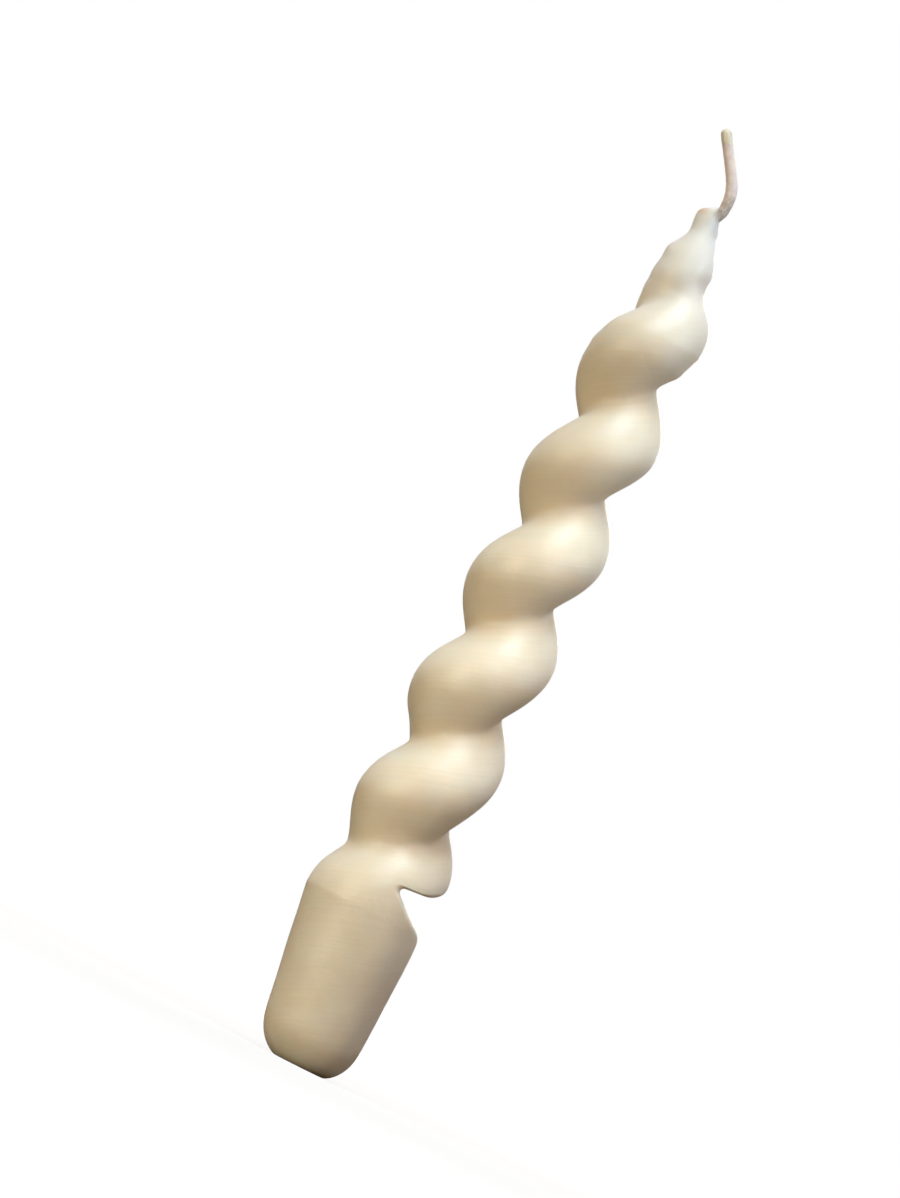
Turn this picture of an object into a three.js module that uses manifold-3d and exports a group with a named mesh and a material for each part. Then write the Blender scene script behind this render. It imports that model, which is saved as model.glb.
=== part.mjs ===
// Spiral candle: a wax column with one deep spiral groove, on a tapered plug foot, with a wick through it.
// Millimetres, +Z up. The origin is on the column's axis, in the plane of the flat bottom.

import * as THREE from 'three';
import { mergeVertices } from 'three/addons/utils/BufferGeometryUtils.js';
import Module from 'manifold-3d';

const wasm = await Module();
wasm.setup();

const { clamp, degToRad, lerp, smoothstep } = THREE.MathUtils;

// Foot: the plug that a candlestick's cup grips, a little askew under the column
const footHeight = 33.7;
const footTopRadius = 12.8;
const footWallRadius = 10.4;
const footFlatRadius = 5.2;
const footRoundingHeight = 7.5;
const footRoundingBulge = 1.0;
const footRoundingFullness = 0.73;
const footBottomOffset = 1.9;
const footTopOffset = -0.35;
const footOffsetRunOut = 12;

// Column: the crest of the lobes, from the foot's top to where the tip draws in
const columnLength = 128;
const columnTopRadius = 10.75;
const columnSwell = 1.9;

// Groove: one right-handed turn for each pitch, with lobes that are round and a valley that is filleted
const groovePitch = 24.2;
const grooveDepthAtFoot = 5.0;
const grooveDepthAtTip = 5.8;
const grooveFillet = 0.33;
const lobeFullness = 0.57;
const firstLeftValleyRise = 10;
const grooveRunInBelow = 5.4;
const grooveRunInAbove = 21;
const grooveRunOutStart = -4;
const grooveRunOutEnd = 20;

// Tip: crest radii and their heights above the column's top
const tipShoulderRadius = 9.5;
const tipShoulderRise = 5;
const tipWaistRadius = 7.2;
const tipWaistRise = 10;
const smallLobeRadius = 5.65;
const smallLobeRise = 15;
const neckShoulderRadius = 4.2;
const neckShoulderRise = 20;
const neckRadius = 2.75;
const neckRise = 23.6;

// The tip sways to the right on its way up, and the neck under its sloping rim leans back to the left
const tipSway = 1.17;
const tipSwayRise = 3.8;
const tipSwayReach = 10;
const rimRadius = 2.8;
const rimRise = 27.2;
const rimRounding = 0.8;
const rimRoundingAngle = 72;
const neckOffset = -0.75;
const neckTopSlope = 27;

// Notch: where the last lobe overhangs the foot's shoulder on the right
const notchDepth = 8.3;
const notchRise = 6.4;
const notchFloorAngle = 38;
const notchRoofAngle = 5;
const notchRootRadius = 1.0;
const notchShoulderRadius = 3.0;
const notchLipRadius = 3.4;
const notchShoulderStandOff = 0.1;
const notchOverrun = 4;

// Wick: a braided cotton cord, stiff with wax, and the bead of wax on its end.
// The stub's points are its distance to the right of the axis and its rise above the neck's top.
const wickRadius = 1.1;
const wickClearance = 0.3;
const wickBottomRecess = 0.4;
const wickStraightMargin = 8;
const boreOverrun = 1;
const wickStubPoints = [
  [0.05, -5.0],
  [0.3, -2.6],
  [0.85, -0.1],
  [1.2, 2.1],
  [1.1, 4.3],
  [0.52, 6.2],
  [-0.5, 8.0],
  [-1.85, 10.1],
  [-3.1, 12.0],
  [-4.2, 13.7],
];
const beadRadius = 1.15;
const beadStraightLength = 1.4;

// Fineness of the faceted surfaces
const ringSides = 36;
const ringSpacing = 1.6;
const roundingRings = 6;
const wallRings = 8;
const tipRings = 20;
const rimRings = 3;
const tubeSides = 8;
const tubeSteps = 80;
const arcSegments = 8;
const beadSides = 16;
const weldDistance = 1e-4;

const columnTop = footHeight + columnLength;
const neckTop = columnTop + rimRise + rimRounding;

// Meridian of the foot: from the flat bottom's rim round the edge and up the straight wall
function footStations() {
  const flatRim = new THREE.Vector2(footFlatRadius, 0);
  const wallFoot = new THREE.Vector2(footWallRadius, footRoundingHeight);
  const shoulder = new THREE.Vector2(footTopRadius, footHeight);
  const wallDirection = shoulder.clone().sub(wallFoot).normalize();
  const rounding = new THREE.CubicBezierCurve(
    flatRim,
    flatRim.clone().add(new THREE.Vector2(footRoundingBulge, 0)),
    wallFoot.clone().addScaledVector(wallDirection, -footRoundingFullness * footRoundingHeight),
    wallFoot,
  );
  const wall = new THREE.LineCurve(wallFoot, shoulder);
  return [...rounding.getPoints(roundingRings), ...wall.getPoints(wallRings).slice(1)];
}

// Meridian of the column: the crest radius falls slowly at first and faster towards the tip
function columnStations() {
  const rings = Math.round(columnLength / ringSpacing);
  const stations = [];
  for (let ring = 1; ring <= rings; ring++) {
    const along = ring / rings;
    const radius = lerp(footTopRadius, columnTopRadius, along ** columnSwell);
    stations.push(new THREE.Vector2(radius, footHeight + along * columnLength));
  }
  return stations;
}

// Meridian of the tip: over the last lobes to the neck, and round the neck's rim
function tipStations() {
  const tip = new THREE.CatmullRomCurve3([
    new THREE.Vector3(columnTopRadius, 0, columnTop),
    new THREE.Vector3(tipShoulderRadius, 0, columnTop + tipShoulderRise),
    new THREE.Vector3(tipWaistRadius, 0, columnTop + tipWaistRise),
    new THREE.Vector3(smallLobeRadius, 0, columnTop + smallLobeRise),
    new THREE.Vector3(neckShoulderRadius, 0, columnTop + neckShoulderRise),
    new THREE.Vector3(neckRadius, 0, columnTop + neckRise),
    new THREE.Vector3(rimRadius, 0, columnTop + rimRise),
  ]);
  const stations = tip.getSpacedPoints(tipRings).slice(1).map(({ x, z }) => new THREE.Vector2(x, z));
  for (let ring = 1; ring <= rimRings; ring++) {
    const turn = (ring / rimRings) * degToRad(rimRoundingAngle);
    const radius = rimRadius - rimRounding * (1 - Math.cos(turn));
    stations.push(new THREE.Vector2(radius, columnTop + rimRise + rimRounding * Math.sin(turn)));
  }
  return stations;
}

// Depth of the groove below the crest, which runs in over the foot's shoulder and out under the neck
function grooveDepth(height) {
  const along = clamp((height - footHeight) / columnLength, 0, 1);
  const runIn = smoothstep(height, footHeight - grooveRunInBelow, footHeight + grooveRunInAbove);
  const runOut = 1 - smoothstep(height, columnTop + grooveRunOutStart, columnTop + grooveRunOutEnd);
  return lerp(grooveDepthAtFoot, grooveDepthAtTip, along) * runIn * runOut;
}

// The groove's direction seen from above, which passes the left side once in every pitch
function grooveAngle(height) {
  return Math.PI + (2 * Math.PI * (height - footHeight - firstLeftValleyRise)) / groovePitch;
}

// How full the lobe is at an angle from the groove: 0 in the valley and 1 on the crest opposite
function lobeFill(angle) {
  const half = Math.sin(angle / 2);
  const power = lobeFullness / 2;
  const valley = grooveFillet ** lobeFullness;
  const crest = (1 + grooveFillet ** 2) ** power;
  return ((half * half + grooveFillet ** 2) ** power - valley) / (crest - valley);
}

// Distance of a ring's centre to the right of the column's axis, from the foot, the tip and the neck
function ringOffset(height) {
  const onFoot = clamp(height / footHeight, 0, 1);
  const runOut = 1 - smoothstep(height, footHeight, footHeight + footOffsetRunOut);
  const foot = lerp(footBottomOffset, footTopOffset, onFoot) * runOut;
  const sway = clamp((height - columnTop - tipSwayRise) / tipSwayReach, -1, 1);
  const tip = tipSway * Math.sin(Math.PI * sway) * (1 - sway * sway);
  return foot + tip + neckOffset * smoothstep(height, columnTop + neckShoulderRise, neckTop);
}

// Slope of a ring, which is level on the column and rises to the right at the neck's top
function ringSlope(height) {
  return Math.tan(degToRad(neckTopSlope)) * smoothstep(height, columnTop + neckShoulderRise, neckTop);
}

// The lobed skin as rings of vertices, with a fan over each end
function twistedSkin() {
  const stations = [...footStations(), ...columnStations(), ...tipStations()];
  const positions = [];
  for (const { x: crest, y: height } of stations) {
    for (let side = 0; side < ringSides; side++) {
      const angle = (2 * Math.PI * side) / ringSides;
      const radius = crest - grooveDepth(height) * (1 - lobeFill(angle - grooveAngle(height)));
      const across = radius * Math.cos(angle);
      const along = radius * Math.sin(angle);
      positions.push(ringOffset(height) + across, along, height + ringSlope(height) * across);
    }
  }
  const bottomCentre = positions.length / 3;
  positions.push(ringOffset(0), 0, 0);
  const topCentre = bottomCentre + 1;
  positions.push(ringOffset(neckTop), 0, neckTop);

  const indices = [];
  for (let ring = 0; ring < stations.length - 1; ring++) {
    for (let side = 0; side < ringSides; side++) {
      const a = ring * ringSides + side;
      const b = ring * ringSides + ((side + 1) % ringSides);
      indices.push(a, b, b + ringSides, a, b + ringSides, a + ringSides);
    }
  }
  const lastRing = (stations.length - 1) * ringSides;
  for (let side = 0; side < ringSides; side++) {
    const next = (side + 1) % ringSides;
    indices.push(bottomCentre, next, side);
    indices.push(topCentre, lastRing + side, lastRing + next);
  }
  const geometry = new THREE.BufferGeometry();
  geometry.setAttribute('position', new THREE.Float32BufferAttribute(positions, 3));
  geometry.setIndex(indices);
  return geometry;
}

// The wick's centre line: straight up the column, then out of the neck and over to the left
const wickLine = new THREE.CatmullRomCurve3([
  new THREE.Vector3(0, 0, wickBottomRecess),
  new THREE.Vector3(0, 0, (neckTop - wickStraightMargin) / 2),
  new THREE.Vector3(0, 0, neckTop - 2 * wickStraightMargin),
  new THREE.Vector3(0, 0, neckTop - wickStraightMargin),
  ...wickStubPoints.map(([x, rise]) => new THREE.Vector3(x, 0, neckTop + rise)),
]);

function tubeAlong(curve, radius) {
  const corners = [];
  for (let side = 0; side < tubeSides; side++) {
    const angle = (2 * Math.PI * side) / tubeSides;
    corners.push(new THREE.Vector2(radius * Math.cos(angle), radius * Math.sin(angle)));
  }
  return new THREE.ExtrudeGeometry(new THREE.Shape(corners), { steps: tubeSteps, extrudePath: curve });
}

// The bore follows the wick, and opens through the flat bottom
function boreGeometry() {
  const line = wickLine.clone();
  line.points[0].z = -boreOverrun;
  return tubeAlong(line, wickRadius + wickClearance);
}

// Profile of the notch, seen from the front: shoulder of the foot, sloping floor, root, flat roof, lip
function notchProfile(skin, outside) {
  const floorAngle = degToRad(notchFloorAngle);
  const roofAngle = degToRad(notchRoofAngle);
  const rootX = skin - notchDepth + notchRootRadius;
  const rootZ = footHeight + notchRise;

  const floorStartX = rootX - notchRootRadius * Math.sin(floorAngle);
  const floorStartZ = rootZ - notchRootRadius * Math.cos(floorAngle);
  const shoulderX = skin - notchShoulderRadius;
  const floorEndX = shoulderX + notchShoulderRadius * Math.sin(floorAngle);
  const floorEndZ = floorStartZ - (floorEndX - floorStartX) * Math.tan(floorAngle);
  const shoulderZ = floorEndZ - notchShoulderRadius * Math.cos(floorAngle);

  const roofStartX = rootX - notchRootRadius * Math.sin(roofAngle);
  const roofStartZ = rootZ + notchRootRadius * Math.cos(roofAngle);
  const lipX = skin - notchLipRadius;
  const roofEndX = lipX + notchLipRadius * Math.sin(roofAngle);
  const roofEndZ = roofStartZ + (roofEndX - roofStartX) * Math.tan(roofAngle);
  const lipZ = roofEndZ + notchLipRadius * Math.cos(roofAngle);

  const profile = new THREE.Shape();
  profile.moveTo(outside, shoulderZ);
  profile.lineTo(skin, shoulderZ);
  profile.absarc(shoulderX, shoulderZ, notchShoulderRadius, 0, Math.PI / 2 - floorAngle, false);
  const rootFrom = -Math.PI / 2 - floorAngle;
  const rootTo = -1.5 * Math.PI + roofAngle;
  profile.absarc(rootX, rootZ, notchRootRadius, rootFrom, rootTo, true);
  profile.absarc(lipX, lipZ, notchLipRadius, -Math.PI / 2 + roofAngle, 0, false);
  profile.lineTo(outside, lipZ);
  profile.closePath();
  return profile;
}

// The notch runs straight through from front to back
function notchGeometry() {
  const skin = footTopRadius + footTopOffset + notchShoulderStandOff;
  const profile = notchProfile(skin, skin + notchOverrun);
  const width = 2 * (footTopRadius + notchOverrun);
  const options = { depth: width, bevelEnabled: false, curveSegments: arcSegments };
  const cutter = new THREE.ExtrudeGeometry(profile, options);
  cutter.rotateX(Math.PI / 2);
  cutter.translate(0, width / 2, 0);
  return cutter;
}

function toSolid(geometry) {
  const bare = geometry.clone();
  bare.deleteAttribute('normal');
  bare.deleteAttribute('uv');
  const merged = mergeVertices(bare, weldDistance);
  const mesh = new wasm.Mesh({
    numProp: 3,
    vertProperties: Float32Array.from(merged.attributes.position.array),
    triVerts: Uint32Array.from(merged.index.array),
  });
  return new wasm.Manifold(mesh);
}

function fromSolid(solid) {
  const mesh = solid.getMesh();
  const geometry = new THREE.BufferGeometry();
  geometry.setAttribute('position', new THREE.BufferAttribute(mesh.vertProperties, 3));
  geometry.setIndex(new THREE.BufferAttribute(mesh.triVerts, 1));
  geometry.computeVertexNormals();
  return geometry;
}

function waxBody() {
  const skin = toSolid(twistedSkin());
  const notched = skin.subtract(toSolid(notchGeometry()));
  const bored = notched.subtract(toSolid(boreGeometry()));
  const material = new THREE.MeshStandardMaterial({ color: 0xe9e0cb, roughness: 0.42, metalness: 0 });
  const mesh = new THREE.Mesh(fromSolid(bored), material);
  mesh.name = 'wax_body';
  return mesh;
}

function wick() {
  const material = new THREE.MeshStandardMaterial({ color: 0xdccabf, roughness: 0.7, metalness: 0 });
  const mesh = new THREE.Mesh(tubeAlong(wickLine, wickRadius), material);
  mesh.name = 'wick';
  return mesh;
}

// The bead sits on the wick's cut end, in line with its last stretch
function wickEndBead() {
  const profile = [new THREE.Vector2(0, 0), new THREE.Vector2(beadRadius, 0)];
  for (let step = 0; step < arcSegments; step++) {
    const turn = (step / arcSegments) * (Math.PI / 2);
    const rise = beadStraightLength + beadRadius * Math.sin(turn);
    profile.push(new THREE.Vector2(beadRadius * Math.cos(turn), rise));
  }
  profile.push(new THREE.Vector2(0, beadStraightLength + beadRadius));
  const material = new THREE.MeshStandardMaterial({ color: 0xf0e7d0, roughness: 0.4, metalness: 0 });
  const mesh = new THREE.Mesh(new THREE.LatheGeometry(profile, beadSides), material);
  const direction = wickLine.getTangentAt(1);
  mesh.quaternion.setFromUnitVectors(new THREE.Vector3(0, 1, 0), direction);
  mesh.position.copy(wickLine.getPointAt(1)).addScaledVector(direction, wickClearance);
  mesh.name = 'wick_end_bead';
  return mesh;
}

const group = new THREE.Group();
group.add(waxBody(), wick(), wickEndBead());

export default group;
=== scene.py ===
"""A spiral candle of ivory wax on a tapered plug foot, with a waxed cotton wick, in a white studio."""

import math

import bpy
from mathutils import Matrix, Vector, noise


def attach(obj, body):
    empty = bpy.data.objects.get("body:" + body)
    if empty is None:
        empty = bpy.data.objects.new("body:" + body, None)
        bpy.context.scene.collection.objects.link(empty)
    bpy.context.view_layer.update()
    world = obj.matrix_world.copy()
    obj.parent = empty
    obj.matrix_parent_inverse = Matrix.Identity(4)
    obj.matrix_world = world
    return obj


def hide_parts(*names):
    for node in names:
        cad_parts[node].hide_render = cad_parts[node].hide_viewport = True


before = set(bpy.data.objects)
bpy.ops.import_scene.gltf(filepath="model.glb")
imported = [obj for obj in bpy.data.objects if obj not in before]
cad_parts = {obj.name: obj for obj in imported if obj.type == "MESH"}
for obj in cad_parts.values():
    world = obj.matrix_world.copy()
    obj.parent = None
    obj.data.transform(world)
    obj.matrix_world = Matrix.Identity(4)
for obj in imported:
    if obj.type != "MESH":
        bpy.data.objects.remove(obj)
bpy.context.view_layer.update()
bpy.context.scene.view_settings.view_transform = "Standard"

# Camera
# A long lens two centimetres above the table. It is rolled, so that the candle leans to the right in the
# frame, as the photograph shows it.
MM = 0.001
LENS_MM = 200
SENSOR_MM = 36
FRAME_HEIGHT_PX = 1198
METRES_PER_PX = 0.0001991
ROLL_DEG = 26.7
CAMERA_HEIGHT = 20 * MM
AIM_X = -12.8 * MM
AIM_Z = 96.6 * MM

distance = METRES_PER_PX * FRAME_HEIGHT_PX * LENS_MM / SENSOR_MM
camera_data = bpy.data.cameras.new("camera")
camera_data.lens = LENS_MM
camera_data.sensor_width = SENSOR_MM
camera = bpy.data.objects.new("camera", camera_data)
bpy.context.scene.collection.objects.link(camera)
bpy.context.scene.camera = camera
aim = Vector((AIM_X, 0, AIM_Z))
camera.location = Vector((AIM_X, -distance, CAMERA_HEIGHT))
look = (aim - camera.location).to_track_quat("-Z", "Y").to_matrix().to_4x4()
roll = Matrix.Rotation(math.radians(ROLL_DEG), 4, "Z")
camera.matrix_world = Matrix.Translation(camera.location) @ look @ roll

# Table top
# A matt table that runs out of sight behind the candle. Its own glow makes it white for the camera: beside
# the lamps' light near the candle, and alone further off. It keeps the candle's shadow.
TABLE_HALF = 3.0
TABLE_GREY = 0.15
TABLE_GLOW = (0.87, 1.0)
TABLE_GLOW_REACH = (0.12, 0.6)
WHITE = (1, 1, 1, 1)


def add_node(tree, kind, settings, inputs):
    """A shader node with its settings by name, and its inputs as values or as sockets to link from."""
    node = tree.nodes.new("ShaderNode" + kind)
    for name, value in settings.items():
        setattr(node, name, value)
    for name, value in inputs.items():
        if isinstance(value, bpy.types.NodeSocket):
            tree.links.new(value, node.inputs[name])
        else:
            node.inputs[name].default_value = value
    return node


def maths(tree, operation, *values):
    """The result of one step of maths on numbers or sockets."""
    return add_node(tree, "Math", {"operation": operation}, dict(enumerate(values))).outputs[0]


def spread_over(tree, value, spread, target, easing="LINEAR"):
    """A value taken from one range to another, and kept within it."""
    inputs = {"Value": value, "From Min": spread[0], "From Max": spread[1]}
    inputs.update({"To Min": target[0], "To Max": target[1]})
    return add_node(tree, "MapRange", {"interpolation_type": easing}, inputs).outputs[0]


bpy.ops.object.select_all(action="DESELECT")
bpy.ops.mesh.primitive_plane_add(size=2 * TABLE_HALF, location=(0, 0, 0))
floor = bpy.context.object
floor.name = "table_top"
table_white = bpy.data.materials.new("table_white")
table_white.use_nodes = True
tree = table_white.node_tree
tree.nodes.clear()
path = add_node(tree, "LightPath", {}, {})
matt = add_node(tree, "BsdfDiffuse", {}, {"Color": (TABLE_GREY, TABLE_GREY, TABLE_GREY, 1)})
on_table = add_node(tree, "TexCoord", {}, {}).outputs["Object"]
from_candle = add_node(tree, "VectorMath", {"operation": "LENGTH"}, {0: on_table}).outputs["Value"]
level = spread_over(tree, from_candle, TABLE_GLOW_REACH, TABLE_GLOW, "SMOOTHSTEP")
seen = maths(tree, "MULTIPLY", path.outputs["Is Camera Ray"], level)
glow = add_node(tree, "Emission", {}, {"Color": WHITE, "Strength": seen})
both = add_node(tree, "AddShader", {}, {0: matt.outputs[0], 1: glow.outputs[0]})
add_node(tree, "OutputMaterial", {}, {"Surface": both.outputs[0]})
floor.data.materials.append(table_white)

# Studio light
# A white backdrop, which reflections show too, and a dim warm room that fills the shadows. Square soft boxes
# hang over the candle and stand in front of it, to its left and right, low on its right and behind it.
ROOM_TINT = (1.0, 0.5, 0.12, 1)
ROOM_LEVEL = 0.13
BACKDROP_LEVEL = 1.0
CANDLE_FOOT = (0, 0, 0.025)
CANDLE_SHOULDER = (0, 0, 0.042)
CANDLE_LOBES = (0, 0, 0.08)
CANDLE_MIDDLE = (0, 0, 0.1)
CANDLE_COLUMN = (0, 0, 0.15)
CANDLE_TIP = (0, 0, 0.17)
DAYLIGHT = (0.74, 0.88, 1.0)
NO_GRID_DEG = 180
# Each lamp's name, its place, target and size in metres, its level, its colour, and its fan in degrees
SOFT_BOXES = [
    ("top_lamp", (0, -0.37, 1.03), CANDLE_MIDDLE, 0.4, 0.63, (0.69, 0.87, 1.0), NO_GRID_DEG),
    ("over_lamp", (0, 0.05, 1.1), CANDLE_MIDDLE, 0.4, 0.14, (1.0, 0.62, 0.3), NO_GRID_DEG),
    ("left_lamp", (-0.47, -0.53, 0.08), CANDLE_FOOT, 0.2, 0.53, (1.0, 0.86, 0.61), 90),
    ("front_lamp", (0.15, -0.3, 0.25), CANDLE_LOBES, 0.1, 0.46, (0.96, 0.9, 0.8), 20),
    ("shoulder_lamp", (0.0, -0.3, 0.35), CANDLE_SHOULDER, 0.1, 0.48, DAYLIGHT, 14),
    ("right_lamp", (0.35, -0.15, 0.3), CANDLE_COLUMN, 0.1, 0.66, DAYLIGHT, 26),
    ("low_lamp", (0.5, -0.35, 0.03), CANDLE_MIDDLE, 0.2, 0.08, (1.0, 0.5, 0.2), NO_GRID_DEG),
    ("back_lamp", (0.1, 0.9, 0.3), CANDLE_MIDDLE, 0.2, 0.5, (1.0, 0.93, 0.82), NO_GRID_DEG),
    ("tip_lamp", (0, -0.12, 0.38), CANDLE_TIP, 0.15, 0.08, DAYLIGHT, NO_GRID_DEG),
]

world = bpy.data.worlds.new("white_room")
bpy.context.scene.world = world
world.use_nodes = True
tree = world.node_tree
tree.nodes.clear()
path = add_node(tree, "LightPath", {}, {})
light = add_node(tree, "Background", {}, {"Color": ROOM_TINT, "Strength": ROOM_LEVEL})
backdrop = add_node(tree, "Background", {}, {"Color": WHITE, "Strength": BACKDROP_LEVEL})
seen = path.outputs["Is Camera Ray"]
for ray in ("Is Glossy Ray", "Is Transmission Ray"):
    seen = maths(tree, "MAXIMUM", seen, path.outputs[ray])
mix = add_node(tree, "MixShader", {}, {"Fac": seen, 1: light.outputs[0], 2: backdrop.outputs[0]})
add_node(tree, "OutputWorld", {}, {"Surface": mix.outputs[0]})


def soft_box(name, place, target, size, level, colour, fan_deg):
    """A square lamp that faces its target. At level 1 it shows a white card there as white.

    A grid narrows its light to a fan, and the lamp is turned down by what the grid gathers.
    """
    lamp_data = bpy.data.lights.new(name, "AREA")
    lamp_data.shape = "SQUARE"
    lamp_data.size = size
    lamp_data.spread = math.radians(fan_deg)
    half_fan = math.radians(fan_deg / 2)
    gathered = 1 - half_fan / math.tan(half_fan)
    lamp_data.energy = level * gathered * math.pi**2 * (Vector(target) - Vector(place)).length_squared
    lamp_data.color = colour
    lamp = bpy.data.objects.new(name, lamp_data)
    bpy.context.scene.collection.objects.link(lamp)
    facing = (Vector(target) - Vector(place)).to_track_quat("-Z", "Y")
    lamp.matrix_world = Matrix.Translation(Vector(place)) @ facing.to_matrix().to_4x4()


for soft_box_row in SOFT_BOXES:
    soft_box(*soft_box_row)

# Wick
# A braided cotton cord, stiff with wax. It runs straight up the middle of the candle, leaves the neck on its
# right, and bends back to the left as it stands up. The wax that is cast round it holds it.
NECK_TOP = 189.7
WICK_RADIUS = 1.1
WICK_CUT_RADIUS = 1.0
WICK_CORE_RADIUS = 0.5
WICK_CHAMFER = 0.1
WICK_SIDES = 24
WICK_BASE_SWELL = 0.1
WICK_SWELL_RISE = 5.0
WICK_SWELL_REACH = 3.2
WICK_ROUTE = [
    (0, 0.4),
    (0, NECK_TOP / 2),
    (0, NECK_TOP - 16),
    (0, NECK_TOP - 8),
    (0.0, NECK_TOP - 5.0),
    (0.05, NECK_TOP - 2.6),
    (0.4, NECK_TOP - 1.1),
    (1.1, NECK_TOP + 0.4),
    (1.28, NECK_TOP + 2.1),
    (1.12, NECK_TOP + 4.3),
    (0.52, NECK_TOP + 6.2),
    (-0.5, NECK_TOP + 8.0),
    (-1.85, NECK_TOP + 10.1),
    (-3.1, NECK_TOP + 12.0),
    (-4.2, NECK_TOP + 13.7),
]
WICK_FINE_STEP = 0.3
WICK_FINE_FOOT = 3
WICK_FINE_STUB = 26
WICK_LONG_STEP = 6
PLAIT_STRANDS = 3
PLAIT_LENGTH = 3.4
PLAIT_RELIEF = 0.035

WHOLE = (0, 1)
# A cloudy pattern is given by its scale, detail and roughness. The skin's slow clouds take their scale
# from the piece that wears it.
SKIN_CLOUD = (3.0, 0.55)
SKIN_CLOUD_SPREAD = (0.32, 0.68)
SKIN_GRAIN = (1.7, 4.0, 0.6)
SKIN_BLOOM = (0.45, 5.0, 0.65)
SKIN_BLOOM_SPREAD = (0.35, 0.7)
SKIN_DULLING = (-0.05, 0.1)
SKIN_BLOOM_RELIEF = 2.0
COTTON_PALE = (0.97, 0.88, 0.84, 1)
COTTON_DEEP = (0.90, 0.77, 0.72, 1)
COTTON_SOOTY = (0.40, 0.33, 0.25, 1)
COTTON_MOTTLE = 0.9
COTTON_ROUGHNESS = 0.6
COTTON_DEPTH = 0.06 * MM
COTTON_BUMP = 0.6
FIBRE_STRETCH = (6.0, 6.0, 0.6)
FIBRE_NOISE = (1.0, 3.0, 0.5)
FIBRE_SPREAD = (0.3, 0.7)
FIBRE_TONE = (0.95, 1.03)
PLAIT_SHADE = 0.5
SOOT_NOISE = (1.8, 4.0, 0.7)
SOOTY_STRETCH = (NECK_TOP + 2.0, NECK_TOP + 7.5)
SOOTY_LEAN = (0.34, -0.3)
SOOTY_SPREAD = (0.6, 0.95)
SOOTY_SHARE = (0, 0.8)
COTTON_LIGHT_SHARE = 0.5
COTTON_LIGHT_COLOUR = (1.0, 0.7, 0.5)
COTTON_LIGHT_REACH = 0.4 * MM


def draw_rings(name, rings, sides):
    """A round piece, extruded ring by ring from a circle. A ring is its height and its radius in mm."""
    height, radius = rings[0]
    bpy.ops.object.select_all(action="DESELECT")
    bpy.ops.mesh.primitive_circle_add(vertices=sides, radius=radius * MM, location=(0, 0, 0))
    piece = bpy.context.object
    piece.name = name
    bpy.ops.object.mode_set(mode="EDIT")
    bpy.ops.transform.translate(value=(0, 0, height * MM))
    for next_height, next_radius in rings[1:]:
        rise = (0, 0, (next_height - height) * MM)
        bpy.ops.mesh.extrude_region_move(TRANSFORM_OT_translate={"value": rise})
        growth = next_radius / radius
        bpy.ops.transform.resize(value=(growth, growth, 1), center_override=(0, 0, next_height * MM))
        height, radius = next_height, next_radius
    bpy.ops.object.mode_set(mode="OBJECT")
    return piece


def close_ends(piece):
    """Close the open rings at both ends of a drawn piece, and point its faces outwards."""
    bpy.ops.object.mode_set(mode="EDIT")
    bpy.ops.mesh.select_all(action="DESELECT")
    bpy.ops.mesh.select_non_manifold()
    bpy.ops.mesh.fill_holes(sides=0)
    bpy.ops.mesh.select_all(action="SELECT")
    bpy.ops.mesh.normals_make_consistent(inside=False)
    bpy.ops.object.mode_set(mode="OBJECT")


def apply_subdivision(piece):
    """Round a piece off with one level of subdivision, applied to its mesh."""
    rounding = piece.modifiers.new("rounding", "SUBSURF")
    rounding.levels = 1
    rounding.render_levels = 1
    bpy.ops.object.modifier_apply(modifier=rounding.name)
    bpy.ops.object.shade_smooth()


route_data = bpy.data.curves.new("wick_route", "CURVE")
route_data.dimensions = "3D"
spline = route_data.splines.new("BEZIER")
spline.bezier_points.add(len(WICK_ROUTE) - 1)
for knot, (across, height) in zip(spline.bezier_points, WICK_ROUTE):
    knot.co = (across * MM, 0, height * MM)
    knot.handle_left_type = "AUTO"
    knot.handle_right_type = "AUTO"
route = bpy.data.objects.new("wick_route", route_data)
bpy.context.scene.collection.objects.link(route)
bpy.context.view_layer.update()
wick_length = spline.calc_length() / MM
wick_end = spline.bezier_points[-1].co.copy()
wick_lean = (wick_end - spline.bezier_points[-1].handle_left).normalized()

wick_rings = [(0, WICK_CORE_RADIUS), (0, WICK_CUT_RADIUS)]
along = WICK_CHAMFER
while along < wick_length - WICK_CHAMFER:
    above = along - NECK_TOP
    swell = WICK_BASE_SWELL * math.exp(-(((above - WICK_SWELL_RISE) / WICK_SWELL_REACH) ** 2))
    wick_rings.append((along, WICK_RADIUS + swell))
    fine = along < WICK_FINE_FOOT or along > wick_length - WICK_FINE_STUB
    along += WICK_FINE_STEP if fine else WICK_LONG_STEP
wick_rings += [(wick_length, WICK_CUT_RADIUS), (wick_length, WICK_CORE_RADIUS)]
wick = draw_rings("waxed_wick", wick_rings, WICK_SIDES)
cord_place = wick.data.attributes.new("cord_place", "FLOAT_VECTOR", "POINT")
for vertex in wick.data.vertices:
    cord_place.data[vertex.index].vector = vertex.co / MM
    angle = math.atan2(vertex.co.y, vertex.co.x)
    turn = 2 * math.pi * vertex.co.z / MM / PLAIT_LENGTH
    crossing = math.cos(PLAIT_STRANDS * angle + turn) * math.cos(PLAIT_STRANDS * angle - turn)
    vertex.co += Vector((math.cos(angle), math.sin(angle), 0)) * crossing * PLAIT_RELIEF * MM
close_ends(wick)
bend = wick.modifiers.new("bend", "CURVE")
bend.object = route
bend.deform_axis = "POS_Z"
bpy.ops.object.modifier_apply(modifier=bend.name)
bpy.data.objects.remove(route)
apply_subdivision(wick)


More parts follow.
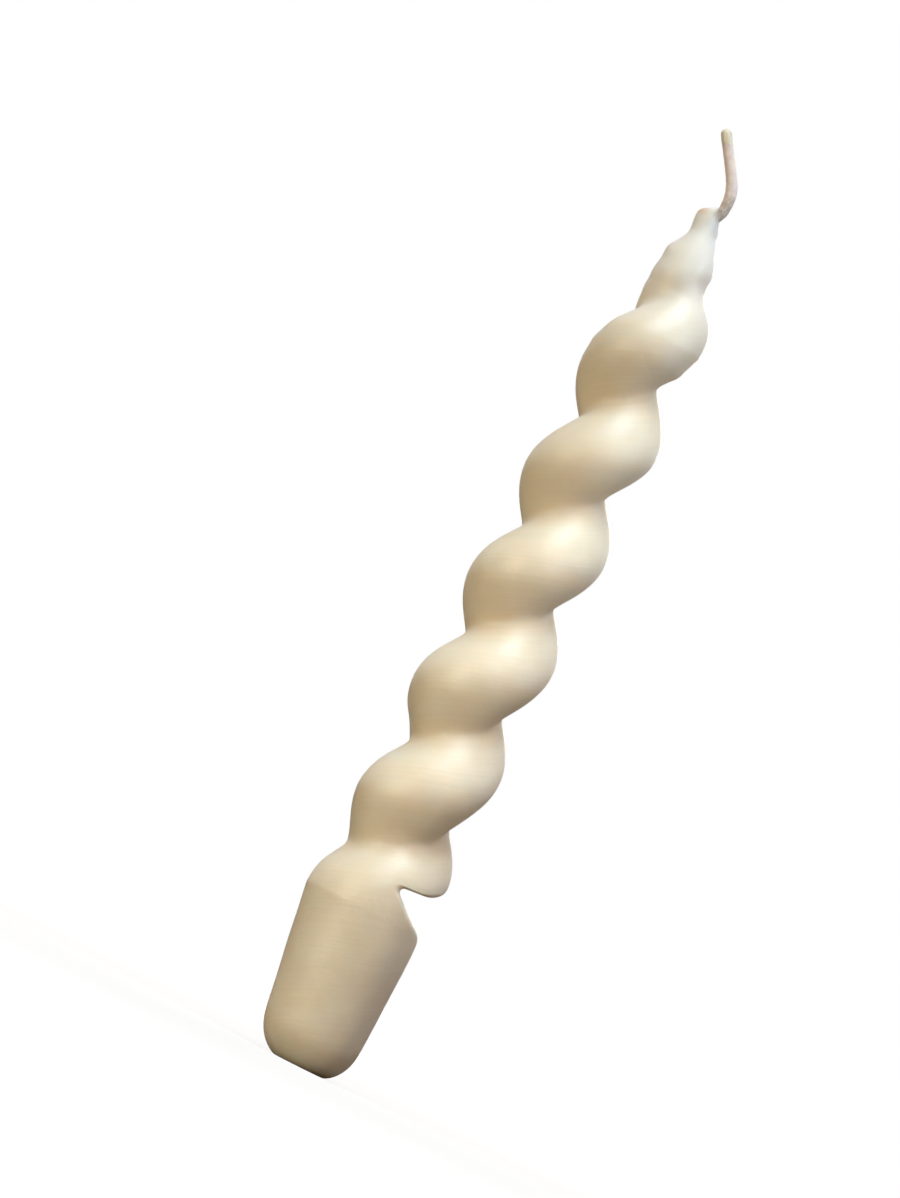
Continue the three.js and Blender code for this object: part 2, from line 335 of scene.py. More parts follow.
def clouds(tree, place, scale, detail, roughness):
    """A cloudy pattern from 0 to 1."""
    inputs = {"Vector": place, "Scale": scale, "Detail": detail, "Roughness": roughness}
    return add_node(tree, "TexNoise", {}, inputs).outputs["Fac"]


def mixed(tree, share, first, second):
    """The first colour, with a share of the second in it."""
    return add_node(tree, "MixRGB", {}, {"Fac": share, "Color1": first, "Color2": second}).outputs[0]


def toned(tree, colour, tone):
    """A colour made darker or lighter by a tone of about 1."""
    inputs = {"Fac": 1.0, "Color1": colour, "Color2": tone}
    return add_node(tree, "MixRGB", {"blend_type": "MULTIPLY"}, inputs).outputs[0]


def wax_skin_group():
    """Wax that has set: a slow mottle between two tones, a fine grain, and a dull bloom here and there."""
    group = bpy.data.node_groups.new("wax_skin", "ShaderNodeTree")
    for name, kind in (
        ("Place", "NodeSocketVector"),
        ("Pale", "NodeSocketColor"),
        ("Deep", "NodeSocketColor"),
        ("Mottle", "NodeSocketFloat"),
        ("Roughness", "NodeSocketFloat"),
    ):
        group.interface.new_socket(name, in_out="INPUT", socket_type=kind)
    group.interface.new_socket("Color", in_out="OUTPUT", socket_type="NodeSocketColor")
    group.interface.new_socket("Roughness", in_out="OUTPUT", socket_type="NodeSocketFloat")
    group.interface.new_socket("Height", in_out="OUTPUT", socket_type="NodeSocketFloat")
    given = group.nodes.new("NodeGroupInput").outputs
    cloud = clouds(group, given["Place"], given["Mottle"], *SKIN_CLOUD)
    even = spread_over(group, cloud, SKIN_CLOUD_SPREAD, WHOLE)
    tone = mixed(group, even, given["Deep"], given["Pale"])
    grain = clouds(group, given["Place"], *SKIN_GRAIN)
    bloom = clouds(group, given["Place"], *SKIN_BLOOM)
    dull = spread_over(group, bloom, SKIN_BLOOM_SPREAD, SKIN_DULLING)
    rough = maths(group, "ADD", given["Roughness"], dull)
    relief = maths(group, "MULTIPLY_ADD", bloom, SKIN_BLOOM_RELIEF, grain)
    given_out = group.nodes.new("NodeGroupOutput")
    group.links.new(tone, given_out.inputs["Color"])
    group.links.new(rough, given_out.inputs["Roughness"])
    group.links.new(relief, given_out.inputs["Height"])
    return group


wax_skin = wax_skin_group()


def skin_in(tree, place, pale, deep, mottle, roughness):
    """The wax skin in one piece's material, in that piece's tones: its colour, roughness and height."""
    inputs = {"Place": place, "Pale": pale, "Deep": deep, "Mottle": mottle, "Roughness": roughness}
    return add_node(tree, "Group", {"node_tree": wax_skin}, inputs).outputs


waxed_cotton = bpy.data.materials.new("waxed_cotton")
waxed_cotton.use_nodes = True
tree = waxed_cotton.node_tree
cotton = tree.nodes["Principled BSDF"]
cord = add_node(tree, "Attribute", {"attribute_name": "cord_place"}, {}).outputs["Vector"]
split = add_node(tree, "SeparateXYZ", {}, {"Vector": cord})
angle = maths(tree, "ARCTAN2", split.outputs["Y"], split.outputs["X"])
strands = maths(tree, "MULTIPLY", angle, PLAIT_STRANDS)
turns = maths(tree, "MULTIPLY", split.outputs["Z"], 2 * math.pi / PLAIT_LENGTH)
lay = [maths(tree, "COSINE", maths(tree, way, strands, turns)) for way in ("ADD", "SUBTRACT")]
plait = maths(tree, "MULTIPLY", lay[0], lay[1])
along_cord = add_node(tree, "Mapping", {}, {"Vector": cord, "Scale": FIBRE_STRETCH}).outputs[0]
fibres = clouds(tree, along_cord, *FIBRE_NOISE)
waxed = skin_in(tree, cord, COTTON_PALE, COTTON_DEEP, COTTON_MOTTLE, COTTON_ROUGHNESS)
blotch = clouds(tree, cord, *SOOT_NOISE)
low = spread_over(tree, split.outputs["Z"], SOOTY_STRETCH, SOOTY_LEAN, "SMOOTHSTEP")
sooty = spread_over(tree, maths(tree, "ADD", blotch, low), SOOTY_SPREAD, SOOTY_SHARE)
colour = mixed(tree, sooty, waxed["Color"], COTTON_SOOTY)
tinted = toned(tree, colour, spread_over(tree, fibres, FIBRE_SPREAD, FIBRE_TONE))
relief = maths(tree, "MULTIPLY_ADD", plait, PLAIT_SHADE, fibres)
bump = add_node(tree, "Bump", {}, {"Strength": COTTON_BUMP, "Distance": COTTON_DEPTH, "Height": relief})
tree.links.new(tinted, cotton.inputs["Base Color"])
tree.links.new(waxed["Roughness"], cotton.inputs["Roughness"])
tree.links.new(bump.outputs[0], cotton.inputs["Normal"])
cotton.inputs["Subsurface Weight"].default_value = COTTON_LIGHT_SHARE
cotton.inputs["Subsurface Radius"].default_value = COTTON_LIGHT_COLOUR
cotton.inputs["Subsurface Scale"].default_value = COTTON_LIGHT_REACH
wick.data.materials.append(waxed_cotton)
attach(wick, "root")
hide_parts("wick")

# Wax body
# One casting of ivory wax round the wick, drawn to a column and given its single spiral groove while soft.
# The foot is a plain tapered plug that a candlestick's cup grips, and the neck is cut off on the slope.
FOOT_HEIGHT = 33.7
FOOT_TOP_RADIUS = 12.8
FOOT_WALL_RADIUS = 10.4
FOOT_FLAT_RADIUS = 5.2
FOOT_ROUNDING_HEIGHT = 7.5
FOOT_ROUNDING_BULGE = 1.0
FOOT_ROUNDING_FULLNESS = 0.7
FOOT_BOTTOM_OFFSET = 1.9
FOOT_TOP_OFFSET = -0.35
FOOT_OFFSET_RUN_OUT = 12
COLUMN_LENGTH = 128
COLUMN_TOP_RADIUS = 10.75
COLUMN_SWELL = 1.9
COLUMN_TOP = FOOT_HEIGHT + COLUMN_LENGTH
TIP_CREST = [(0, COLUMN_TOP_RADIUS), (5, 9.5), (10, 7.2), (15, 5.65), (20, 4.2), (23.6, 2.8), (27.85, 2.55)]
RIM_ROUNDING = 0.8
RIM_ROUNDING_DEG = 72
NECK_SHOULDER_RISE = 20
NECK_OFFSET = -0.85
NECK_SLOPE = math.tan(math.radians(27))
NECK_FALL = 3.4
NECK_FALL_ACROSS = (0.4, 2.5)
TIP_SWAY = 1.17
TIP_SWAY_RISE = 3.8
TIP_SWAY_REACH = 10
GROOVE_PITCH = 24.2
GROOVE_DEPTH_AT_FOOT = 5.0
GROOVE_DEPTH_AT_TIP = 5.8
GROOVE_FILLET = 0.33
LOBE_FULLNESS = 0.57
FIRST_LEFT_VALLEY_RISE = 10
GROOVE_RUN_IN = (-5.4, 21)
GROOVE_DRIFT = 0.032
GROOVE_DRIFT_LEVEL = 118
GROOVE_DRIFT_LOW = 2.3
GROOVE_DRIFT_HIGH = 1.0
GROOVE_DRIFT_FRONT = (0, 0.8)
GROOVE_RUN_OUT = (-4, 20)
NOTCH_SHOULDER_SKIN = 12.1
NOTCH_LIP_SKIN = 12.55
NOTCH_DEPTH = 8.3
NOTCH_RISE = 6.4
NOTCH_FLOOR_DEG = 38
NOTCH_ROOF_DEG = 5
NOTCH_ROOT_RADIUS = 1.0
NOTCH_SHOULDER_RADIUS = 2.6
NOTCH_LIP_RADIUS = 3.4
NOTCH_FULL_DEG = 72
NOTCH_GONE_DEG = 120
NOTCH_EDGE = 1.4
NOTCH_EDGE_LEAST = 0.01
NOTCH_EDGE_SPREAD_DEG = (8, 40)
NOTCH_CUT_ANGLE = math.pi / 2 - 0.1
NOTCH_ARC_POINTS = (10, 12, 14)
BORE_RADIUS = 1.4
COLLAR_RADIUS = 1.15
# Rings of the bore and of the wax drawn up the wick: the rise above the neck's top, and the radius
NECK_BORE = [
    (0.93, COLLAR_RADIUS),
    (-0.6, COLLAR_RADIUS),
    (-2.6, BORE_RADIUS),
    (-5, BORE_RADIUS),
    (-8, BORE_RADIUS),
]
COLLAR = [(0.45, 1.8), (0.6, 1.5), (0.75, 1.3), (0.95, 1.2)]
STRAIGHT_BORE_HEIGHTS = (60, 0.3)
BOTTOM_RADII = (1.7, 2.9, 4.1)
SETTLING_ROUNDS = 4
BODY_SIDES = 84
ROUNDING_RINGS = 12
WALL_RINGS = 20
NOTCH_RINGS = 44
COLUMN_RINGS = 137
TIP_RINGS = 40
RIM_RINGS = 5
UNEVENNESS = 0.1
UNEVEN_SPACING = 9.0
UNEVEN_FINE_SCALE = 3
UNEVEN_FINE_SHARE = 0.3
LEFT = math.pi
RIGHT = 0
# Each finger mark's height, side, rise of the skin, and reach up and down (mm) and round (radians)
HAND_MARKS = [
    (71.5, LEFT, -0.6, 2.3, 0.6),
    (121, LEFT, 0.12, 4.0, 0.6),
    (145, LEFT, 0.22, 4.5, 0.7),
    (162.5, LEFT, -0.7, 2.2, 0.6),
    (170.3, LEFT, 0.35, 1.8, 0.6),
    (179.4, LEFT, 0.8, 1.9, 0.8),
    (137, RIGHT, 0.2, 4.0, 0.6),
    (162, RIGHT, 0.7, 3.2, 0.6),
    (172.6, RIGHT, -0.5, 1.6, 0.6),
    (177.3, RIGHT, 0.3, 1.6, 0.6),
    (181.8, RIGHT, -0.6, 1.8, 0.6),
    (187.2, RIGHT, 0.45, 1.6, 0.8),
    (183.3, LEFT, -0.2, 2.0, 0.7),
    (164.0, LEFT, -0.3, 1.4, 0.6),
    (156.5, RIGHT, 0.4, 1.6, 0.6),
    (156.5, LEFT, 0.4, 1.4, 0.6),
]
WAX_PALE = (0.88, 0.81, 0.66, 1)
WAX_DEEP = (0.83, 0.74, 0.57, 1)
WAX_MOTTLE = 0.09
WAX_ROUGHNESS = 0.42
WAX_SHEEN_LEVEL = 0.7
WAX_GRAIN_DEPTH = 0.05 * MM
WAX_BUMP = 0.5
WAX_LIGHT_SHARE = 1.0
WAX_LIGHT_COLOUR = (1.0, 0.85, 0.7)
WAX_LIGHT_REACH = 2 * MM
# Painted shade: the bottom of the groove is darkened towards a warm brown, where shade falls in the crease.
WAX_GROOVE_SHADE = (0.75, 0.58, 0.35, 1)
GROOVE_SHADE_SPREAD = (0.35, 1.0)
GROOVE_SHADE_SHARE = (0, 0.2)
STREAK_STRETCH = (0.9, 0.9, 0.05)
STREAK_NOISE = (1.0, 3.0, 0.5)
STREAK_SPREAD = (0.3, 0.7)
STREAK_TONE = (0.975, 1.02)
STREAK_RELIEF = 1.2
# Painted light: the wax turns a paler near-white from the upper column to the neck, standing in for light
# that shows through the thin wax there.
WAX_TIP_PAINTED_LIGHT = (0.93, 0.915, 0.89, 1)
TIP_LIGHT_HEIGHTS = (150, 188)
TIP_LIGHT_SHARE = (0, 0.8)
NECK_TINT = (0.80, 0.44, 0.25, 1)
NECK_TINT_PLACE = (-2.0, -1.0, 189.0)
NECK_TINT_REACH = (0.4, 2.0)
NECK_TINT_SHARE = (0.75, 0)
WAX_SOOT = (0.48, 0.38, 0.29, 1)
WICK_EXIT = (0.7, -1.4, 189.5)
WAX_SOOT_REACH = (0.5, 3.0)
WAX_SOOT_LEAN = (0.5, -0.35)
WAX_SOOT_SPREAD = (0.5, 0.95)
WAX_SOOT_SHARE = (0, 0.7)


def smooth_step(value, low, high):
    """0 below low and 1 above high, with an even rise between."""
    share = min(max((value - low) / (high - low), 0), 1)
    return share * share * (3 - 2 * share)


def curve_point(points, position):
    """A point on the Catmull-Rom curve through the points. position counts whole points."""
    index = min(int(position), len(points) - 2)
    t = position - index
    b, c = Vector(points[index]), Vector(points[index + 1])
    a = Vector(points[index - 1]) if index else 2 * b - c
    d = Vector(points[index + 2]) if index + 2 < len(points) else 2 * c - b
    return 0.5 * (2 * b + (c - a) * t + (2 * a - 5 * b + 4 * c - d) * t**2 + (3 * b - 3 * c + d - a) * t**3)


def arc_points(centre, radius, start_deg, end_deg, count):
    """Points on an arc of the notch's profile, from one direction to another."""
    points = []
    for step in range(count + 1):
        turn = math.radians(start_deg + (end_deg - start_deg) * step / count)
        points.append(centre + radius * Vector((math.cos(turn), math.sin(turn))))
    return points


def notch_profile():
    """The notch from the front: round the foot's shoulder, up its floor, round its root, out to its lip."""
    root = Vector((NOTCH_LIP_SKIN - NOTCH_DEPTH + NOTCH_ROOT_RADIUS, FOOT_HEIGHT + NOTCH_RISE))
    floor_side = math.radians(-90 - NOTCH_FLOOR_DEG)
    floor_start = root + NOTCH_ROOT_RADIUS * Vector((math.cos(floor_side), math.sin(floor_side)))
    shoulder_x = NOTCH_SHOULDER_SKIN - NOTCH_SHOULDER_RADIUS
    floor_end_x = shoulder_x + NOTCH_SHOULDER_RADIUS * math.sin(math.radians(NOTCH_FLOOR_DEG))
    floor_end_z = floor_start.y - (floor_end_x - floor_start.x) * math.tan(math.radians(NOTCH_FLOOR_DEG))
    shoulder_z = floor_end_z - NOTCH_SHOULDER_RADIUS * math.cos(math.radians(NOTCH_FLOOR_DEG))
    roof_side = math.radians(90 + NOTCH_ROOF_DEG)
    roof_start = root + NOTCH_ROOT_RADIUS * Vector((math.cos(roof_side), math.sin(roof_side)))
    lip_x = NOTCH_LIP_SKIN - NOTCH_LIP_RADIUS
    roof_end_x = lip_x + NOTCH_LIP_RADIUS * math.sin(math.radians(NOTCH_ROOF_DEG))
    roof_end_z = roof_start.y + (roof_end_x - roof_start.x) * math.tan(math.radians(NOTCH_ROOF_DEG))
    lip_z = roof_end_z + NOTCH_LIP_RADIUS * math.cos(math.radians(NOTCH_ROOF_DEG))
    shoulder = Vector((shoulder_x, shoulder_z))
    lip = Vector((lip_x, lip_z))
    shoulder_points, root_points, lip_points = NOTCH_ARC_POINTS
    profile = arc_points(shoulder, NOTCH_SHOULDER_RADIUS, 0, 90 - NOTCH_FLOOR_DEG, shoulder_points)
    root_end = -270 + NOTCH_ROOF_DEG
    profile += arc_points(root, NOTCH_ROOT_RADIUS, -90 - NOTCH_FLOOR_DEG, root_end, root_points)
    profile += arc_points(lip, NOTCH_LIP_RADIUS, NOTCH_ROOF_DEG - 90, 0, lip_points)
    return profile


def along_profile(profile, share):
    """The point at a share of the profile's length."""
    lengths = [(b - a).length for a, b in zip(profile, profile[1:])]
    left = share * sum(lengths)
    for a, b, length in zip(profile, profile[1:], lengths):
        if left <= length:
            return a.lerp(b, left / length)
        left -= length
    return profile[-1]


notch = notch_profile()
NOTCH_BOTTOM = notch[0].y
NOTCH_TOP = notch[-1].y


def crest_radius(height):
    """Radius of the foot's wall, or of the column over the crest of its lobes."""
    if height < FOOT_HEIGHT:
        share = (height - FOOT_ROUNDING_HEIGHT) / (FOOT_HEIGHT - FOOT_ROUNDING_HEIGHT)
        return FOOT_WALL_RADIUS + (FOOT_TOP_RADIUS - FOOT_WALL_RADIUS) * share
    share = (height - FOOT_HEIGHT) / COLUMN_LENGTH
    return FOOT_TOP_RADIUS + (COLUMN_TOP_RADIUS - FOOT_TOP_RADIUS) * share**COLUMN_SWELL


def even_rings(low, high, count):
    """Rings at even heights over one stretch of the foot's wall and the column, without the first."""
    heights = [low + (high - low) * step / count for step in range(1, count + 1)]
    return [(height, crest_radius(height)) for height in heights]


bore_rings = [(NECK_TOP + rise, radius) for rise, radius in NECK_BORE]
bore_rings += [(height, BORE_RADIUS) for height in STRAIGHT_BORE_HEIGHTS]
bottom_rings = [(0, radius) for radius in BOTTOM_RADII]
wall_foot = Vector((FOOT_WALL_RADIUS, FOOT_ROUNDING_HEIGHT))
shoulder = Vector((FOOT_TOP_RADIUS, FOOT_HEIGHT))
pull = (shoulder - wall_foot).normalized() * FOOT_ROUNDING_FULLNESS * FOOT_ROUNDING_HEIGHT
flat_rim = Vector((FOOT_FLAT_RADIUS, 0))
handle = flat_rim + Vector((FOOT_ROUNDING_BULGE, 0))
outer_rings = []
for step in range(ROUNDING_RINGS + 1):
    t = step / ROUNDING_RINGS
    point = (1 - t) ** 3 * flat_rim + 3 * (1 - t) ** 2 * t * handle
    point += 3 * (1 - t) * t**2 * (wall_foot - pull) + t**3 * wall_foot
    outer_rings.append((point.y, point.x))
outer_rings += even_rings(FOOT_ROUNDING_HEIGHT, NOTCH_BOTTOM, WALL_RINGS)
outer_rings += even_rings(NOTCH_BOTTOM, NOTCH_TOP, NOTCH_RINGS)
outer_rings += even_rings(NOTCH_TOP, COLUMN_TOP, COLUMN_RINGS)
for step in range(1, TIP_RINGS + 1):
    rise, crest = curve_point(TIP_CREST, step / TIP_RINGS * (len(TIP_CREST) - 1))
    outer_rings.append((COLUMN_TOP + rise, crest))
for step in range(1, RIM_RINGS + 1):
    turn = step / RIM_RINGS * math.radians(RIM_ROUNDING_DEG)
    crest = TIP_CREST[-1][1] - RIM_ROUNDING * (1 - math.cos(turn))
    outer_rings.append((COLUMN_TOP + TIP_CREST[-1][0] + RIM_ROUNDING * math.sin(turn), crest))
collar_rings = [(NECK_TOP + rise, radius) for rise, radius in COLLAR]

rings = bore_rings + bottom_rings + outer_rings + collar_rings
wax_body = draw_rings("wax_candle", rings, BODY_SIDES)


def groove_depth(height):
    """Depth of the groove under the crest, which runs in over the foot and out under the neck."""
    along = min(max((height - FOOT_HEIGHT) / COLUMN_LENGTH, 0), 1)
    run_in = smooth_step(height - FOOT_HEIGHT, *GROOVE_RUN_IN)
    run_out = 1 - smooth_step(height - COLUMN_TOP, *GROOVE_RUN_OUT)
    return (GROOVE_DEPTH_AT_FOOT + (GROOVE_DEPTH_AT_TIP - GROOVE_DEPTH_AT_FOOT) * along) * run_in * run_out


def hollow(angle, height):
    """1 in the bottom of the groove and 0 on the crest opposite. The hand-drawn groove drifts in front."""
    drift = GROOVE_DRIFT * (height - GROOVE_DRIFT_LEVEL)
    front = smooth_step(-math.sin(angle), *GROOVE_DRIFT_FRONT)
    drift = min(max(drift, -GROOVE_DRIFT_LOW), GROOVE_DRIFT_HIGH) * front
    rise = height - drift - FOOT_HEIGHT - FIRST_LEFT_VALLEY_RISE
    groove = math.pi + 2 * math.pi * rise / GROOVE_PITCH
    half = math.sin((angle - groove) / 2)
    valley = GROOVE_FILLET**LOBE_FULLNESS
    crest = (1 + GROOVE_FILLET**2) ** (LOBE_FULLNESS / 2)
    return 1 - ((half**2 + GROOVE_FILLET**2) ** (LOBE_FULLNESS / 2) - valley) / (crest - valley)


def ring_offset(height):
    """How far a ring's middle lies to the right of the column's axis."""
    on_foot = min(height / FOOT_HEIGHT, 1)
    run_out = 1 - smooth_step(height, FOOT_HEIGHT, FOOT_HEIGHT + FOOT_OFFSET_RUN_OUT)
    foot = (FOOT_BOTTOM_OFFSET + (FOOT_TOP_OFFSET - FOOT_BOTTOM_OFFSET) * on_foot) * run_out
    sway = min(max((height - COLUMN_TOP - TIP_SWAY_RISE) / TIP_SWAY_REACH, -1), 1)
    tip = TIP_SWAY * math.sin(math.pi * sway) * (1 - sway**2)
    return foot + tip + NECK_OFFSET * smooth_step(height, COLUMN_TOP + NECK_SHOULDER_RISE, NECK_TOP)


def neck_rise(height, across):
    """How much a ring is lifted towards the neck's top, which slopes up and then falls away to the wick."""
    from_middle = across - ring_offset(NECK_TOP)
    slope = NECK_SLOPE * from_middle - NECK_FALL * smooth_step(from_middle, *NECK_FALL_ACROSS)
    return slope * smooth_step(height, COLUMN_TOP + NECK_SHOULDER_RISE, NECK_TOP)


def wick_across(height):
    """How far the wick lies to the right of the axis at a height."""
    for (low_x, low), (high_x, high) in zip(WICK_ROUTE, WICK_ROUTE[1:]):
        if height <= high:
            return low_x + (high_x - low_x) * max(height - low, 0) / (high - low)
    return WICK_ROUTE[-1][0]


def uneven(angle, height, radius):
    """The hand-made skin's slow swells and hollows, and the marks of the fingers that drew it."""
    place = Vector((radius * math.cos(angle), radius * math.sin(angle), height))
    swell = noise.noise(place / UNEVEN_SPACING)
    swell += UNEVEN_FINE_SHARE * noise.noise(place * UNEVEN_FINE_SCALE / UNEVEN_SPACING)
    marks = 0
    for mark_height, mark_angle, amount, reach, spread in HAND_MARKS:
        turned = math.remainder(angle - mark_angle, 2 * math.pi)
        marks += amount * math.exp(-(((height - mark_height) / reach) ** 2) - (turned / spread) ** 2)
    return UNEVENNESS * swell + marks


def skin_radius(angle, height, crest):
    """Radius of the lobed skin, before the notch is cut."""
    return crest - groove_depth(height) * hollow(angle, height)


def soft_least(a, b, reach):
    """The lesser of two lengths, eased where they are within reach of each other."""
    ease = max(reach - abs(a - b), 0) / reach
    return min(a, b) - ease * ease * reach / 4


def notched(angle, height, radius, cut, share):
    """Radius of the skin where the notch runs straight through it from front to back."""
    middle = ring_offset(height)
    right_skin = middle + skin_radius(0, height, crest_radius(height))
    depth = NOTCH_SHOULDER_SKIN + (NOTCH_LIP_SKIN - NOTCH_SHOULDER_SKIN) * share - cut.x
    chord = (right_skin - depth - middle) / math.cos(angle)
    edge = NOTCH_EDGE * smooth_step(abs(math.degrees(angle)), *NOTCH_EDGE_SPREAD_DEG)
    return soft_least(radius, chord, max(edge, NOTCH_EDGE_LEAST))


def beside_wick(height, own, reach):
    """Middle of a ring between the wick and the neck's edge, once it has sunk with the sloping neck."""
    middle = ring_offset(height) * own + wick_across(height) * (1 - own)
    for _ in range(SETTLING_ROUNDS):
        sunk = height + neck_rise(height, middle + reach)
        middle = ring_offset(height) * own + wick_across(sunk) * (1 - own)
    return middle


# The groove's depth at each point, kept for the painted shade in the groove's bottom.
groove_shade_depth = wax_body.data.attributes.new("groove", "FLOAT", "POINT")
first_outer = len(bore_rings) + len(bottom_rings)
first_collar = first_outer + len(outer_rings)
for vertex in wax_body.data.vertices:
    ring = vertex.index // BODY_SIDES
    height, crest = rings[ring]
    angle = math.atan2(vertex.co.y, vertex.co.x)
    radius = crest
    if first_outer <= ring < first_collar:
        share = (height - NOTCH_BOTTOM) / (NOTCH_TOP - NOTCH_BOTTOM)
        beside_notch = 0 <= share <= 1
        if beside_notch:
            cut = along_profile(notch, share)
            turned = abs(math.degrees(angle))
            height += (cut.y - height) * (1 - smooth_step(turned, NOTCH_FULL_DEG, NOTCH_GONE_DEG))
            crest = crest_radius(height)
        middle = ring_offset(height)
        radius = skin_radius(angle, height, crest)
        groove_shade_depth.data[vertex.index].value = (crest - radius) / GROOVE_DEPTH_AT_TIP
        radius += uneven(angle, height, radius)
        if beside_notch and abs(angle) < NOTCH_CUT_ANGLE:
            radius = notched(angle, height, radius, cut, share)
    elif ring < len(bore_rings):
        middle = beside_wick(height, 0, radius * math.cos(angle))
    else:
        edge = FOOT_FLAT_RADIUS if ring < first_outer else outer_rings[-1][1]
        own = (crest - COLLAR_RADIUS) / (edge - COLLAR_RADIUS)
        middle = beside_wick(height, own, radius * math.cos(angle))
    across = middle + radius * math.cos(angle)
    vertex.co = Vector((across, radius * math.sin(angle), height + neck_rise(height, across))) * MM

bpy.ops.object.mode_set(mode="EDIT")
bpy.ops.mesh.select_all(action="DESELECT")
bpy.ops.mesh.select_non_manifold()
bpy.ops.mesh.bridge_edge_loops()
bpy.ops.mesh.select_all(action="SELECT")
bpy.ops.mesh.normals_make_consistent(inside=False)
bpy.ops.object.mode_set(mode="OBJECT")
apply_subdivision(wax_body)


def place_in_mm(tree):
    """The place on a piece, in millimetres."""
    place = add_node(tree, "TexCoord", {}, {}).outputs["Object"]
    return add_node(tree, "Mapping", {}, {"Vector": place, "Scale": (1 / MM, 1 / MM, 1 / MM)}).outputs[0]


def distance_from(tree, spot, place):
    """How far a place on a piece is from a spot."""
    return add_node(tree, "VectorMath", {"operation": "DISTANCE"}, {0: place, 1: spot}).outputs["Value"]


ivory_wax = bpy.data.materials.new("ivory_wax")
ivory_wax.use_nodes = True
tree = ivory_wax.node_tree
wax = tree.nodes["Principled BSDF"]
in_mm = place_in_mm(tree)
skin = skin_in(tree, in_mm, WAX_PALE, WAX_DEEP, WAX_MOTTLE, WAX_ROUGHNESS)
height = add_node(tree, "SeparateXYZ", {}, {"Vector": in_mm}).outputs["Z"]
twist = maths(tree, "MULTIPLY", height, -2 * math.pi / GROOVE_PITCH)
untwisted = {"Vector": in_mm, "Angle": twist}
straight = add_node(tree, "VectorRotate", {"rotation_type": "Z_AXIS"}, untwisted).outputs[0]
drawn = add_node(tree, "Mapping", {}, {"Vector": straight, "Scale": STREAK_STRETCH}).outputs[0]
streaks = clouds(tree, drawn, *STREAK_NOISE)
# Painted shade: a warm brown darkening mixed into the bottom of the groove.
groove = add_node(tree, "Attribute", {"attribute_name": "groove"}, {}).outputs["Fac"]
sunk = spread_over(tree, groove, GROOVE_SHADE_SPREAD, GROOVE_SHADE_SHARE)
groove_shaded = mixed(tree, sunk, skin["Color"], WAX_GROOVE_SHADE)
streaked = toned(tree, groove_shaded, spread_over(tree, streaks, STREAK_SPREAD, STREAK_TONE))
# Painted light: the wax is paler towards the tip, as if lit through the thin wax.
tip_light = spread_over(tree, height, TIP_LIGHT_HEIGHTS, TIP_LIGHT_SHARE, "SMOOTHSTEP")
tip_lit = mixed(tree, tip_light, streaked, WAX_TIP_PAINTED_LIGHT)
from_tint = distance_from(tree, NECK_TINT_PLACE, in_mm)
neck_mask = spread_over(tree, from_tint, NECK_TINT_REACH, NECK_TINT_SHARE, "SMOOTHSTEP")
tinted = mixed(tree, neck_mask, tip_lit, NECK_TINT)
from_wick = distance_from(tree, WICK_EXIT, in_mm)
soot_mask = spread_over(tree, from_wick, WAX_SOOT_REACH, WAX_SOOT_LEAN, "SMOOTHSTEP")
speckled = maths(tree, "ADD", clouds(tree, in_mm, *SOOT_NOISE), soot_mask)
soot = spread_over(tree, speckled, WAX_SOOT_SPREAD, WAX_SOOT_SHARE)
sooted = mixed(tree, soot, tinted, WAX_SOOT)
relief = maths(tree, "MULTIPLY_ADD", streaks, STREAK_RELIEF, skin["Height"])
bump = add_node(tree, "Bump", {}, {"Strength": WAX_BUMP, "Distance": WAX_GRAIN_DEPTH, "Height": relief})
tree.links.new(sooted, wax.inputs["Base Color"])
tree.links.new(skin["Roughness"], wax.inputs["Roughness"])
tree.links.new(bump.outputs[0], wax.inputs["Normal"])
wax.inputs["Specular IOR Level"].default_value = WAX_SHEEN_LEVEL
wax.inputs["Subsurface Weight"].default_value = WAX_LIGHT_SHARE
wax.inputs["Subsurface Radius"].default_value = WAX_LIGHT_COLOUR
wax.inputs["Subsurface Scale"].default_value = WAX_LIGHT_REACH
wax_body.data.materials.append(ivory_wax)
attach(wax_body, "root")
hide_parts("wax_body")

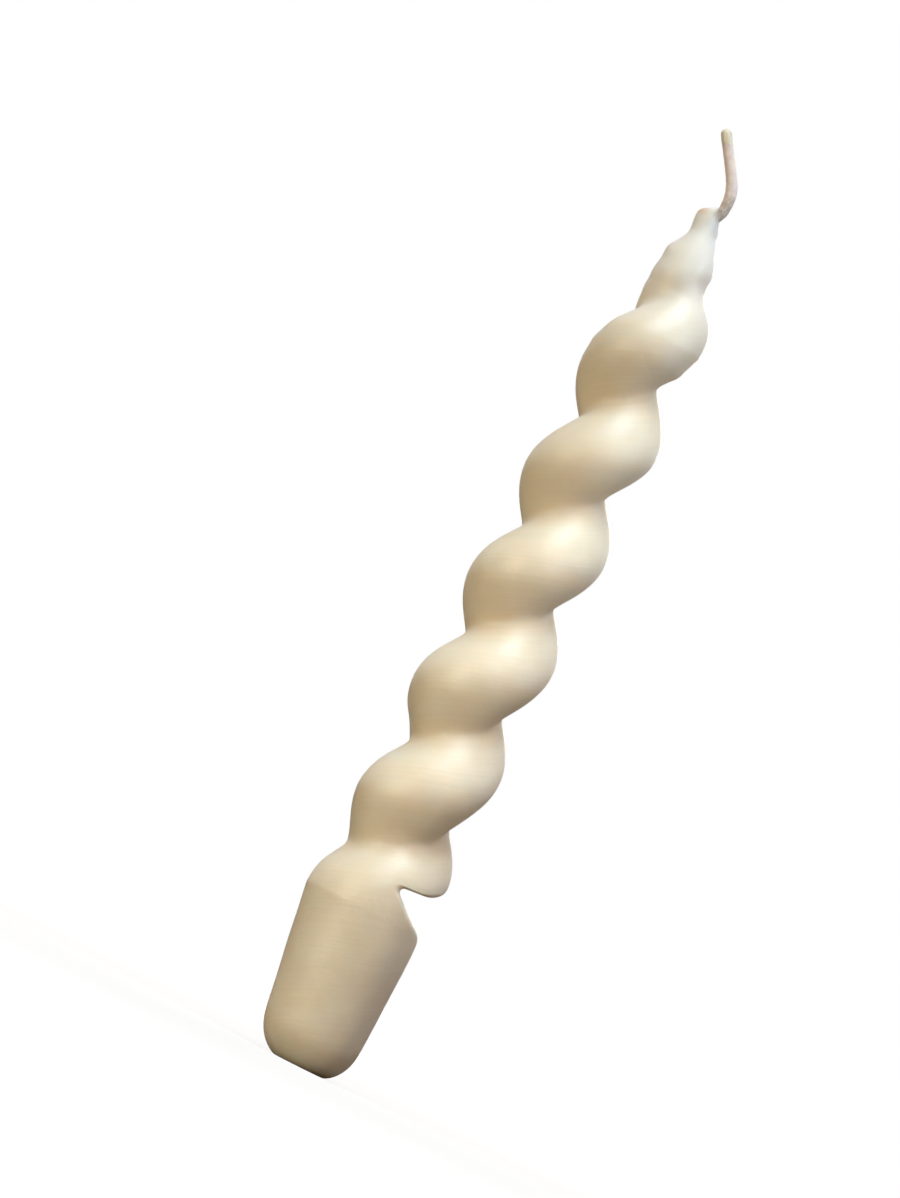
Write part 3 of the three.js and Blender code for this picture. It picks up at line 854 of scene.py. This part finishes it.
# Wick's end bead
# A drop of cream wax that has set over the wick's cut end. It sits on the cord like a thimble, with a
# rounded top and a short skirt, and only the set wax holds it there.
BEAD_SIDES = 24
BEAD_RINGS = [
    (0.05, 0.4),
    (0.05, 1.0),
    (0, 1.105),
    (-0.35, 1.11),
    (-0.4, 1.115),
    (-0.25, 1.13),
    (0.1, 1.15),
    (0.5, 1.165),
    (1.0, 1.17),
    (1.7, 1.14),
]
BEAD_DOME_BASE = 1.7
BEAD_DOME_RADIUS = 1.14
BEAD_DOME_RINGS = 7
BEAD_UNEVENNESS = 0.04
BEAD_PALE = (0.90, 0.85, 0.70, 1)
BEAD_DEEP = (0.84, 0.76, 0.58, 1)
BEAD_MOTTLE = 0.8
BEAD_ROUGHNESS = 0.36
BEAD_GRAIN_DEPTH = 0.03 * MM
BEAD_BUMP = 0.5
BEAD_LIGHT_SHARE = 0.3
BEAD_LIGHT_REACH = 0.1 * MM

dome = []
for step in range(1, BEAD_DOME_RINGS + 1):
    turn = step / (BEAD_DOME_RINGS + 1) * math.pi / 2
    dome.append((BEAD_DOME_BASE + BEAD_DOME_RADIUS * math.sin(turn), BEAD_DOME_RADIUS * math.cos(turn)))
bead = draw_rings("wick_bead", BEAD_RINGS + dome, BEAD_SIDES)
for vertex in bead.data.vertices:
    vertex.co *= 1 + BEAD_UNEVENNESS * noise.noise(vertex.co / MM)
close_ends(bead)
apply_subdivision(bead)
bpy.ops.object.mode_set(mode="EDIT")
bpy.ops.mesh.select_all(action="SELECT")
lean = math.atan2(wick_lean.x, wick_lean.z)
bpy.ops.transform.rotate(value=-lean, orient_axis="Y", center_override=(0, 0, 0))
bpy.ops.transform.translate(value=wick_end)
bpy.ops.object.mode_set(mode="OBJECT")

bead_wax = bpy.data.materials.new("bead_wax")
bead_wax.use_nodes = True
tree = bead_wax.node_tree
set_wax = tree.nodes["Principled BSDF"]
skin = skin_in(tree, place_in_mm(tree), BEAD_PALE, BEAD_DEEP, BEAD_MOTTLE, BEAD_ROUGHNESS)
set_bump = {"Strength": BEAD_BUMP, "Distance": BEAD_GRAIN_DEPTH, "Height": skin["Height"]}
bump = add_node(tree, "Bump", {}, set_bump)
tree.links.new(skin["Color"], set_wax.inputs["Base Color"])
tree.links.new(skin["Roughness"], set_wax.inputs["Roughness"])
tree.links.new(bump.outputs[0], set_wax.inputs["Normal"])
set_wax.inputs["Specular IOR Level"].default_value = WAX_SHEEN_LEVEL
set_wax.inputs["Subsurface Weight"].default_value = BEAD_LIGHT_SHARE
set_wax.inputs["Subsurface Radius"].default_value = WAX_LIGHT_COLOUR
set_wax.inputs["Subsurface Scale"].default_value = BEAD_LIGHT_REACH
bead.data.materials.append(bead_wax)
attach(bead, "root")
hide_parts("wick_end_bead")
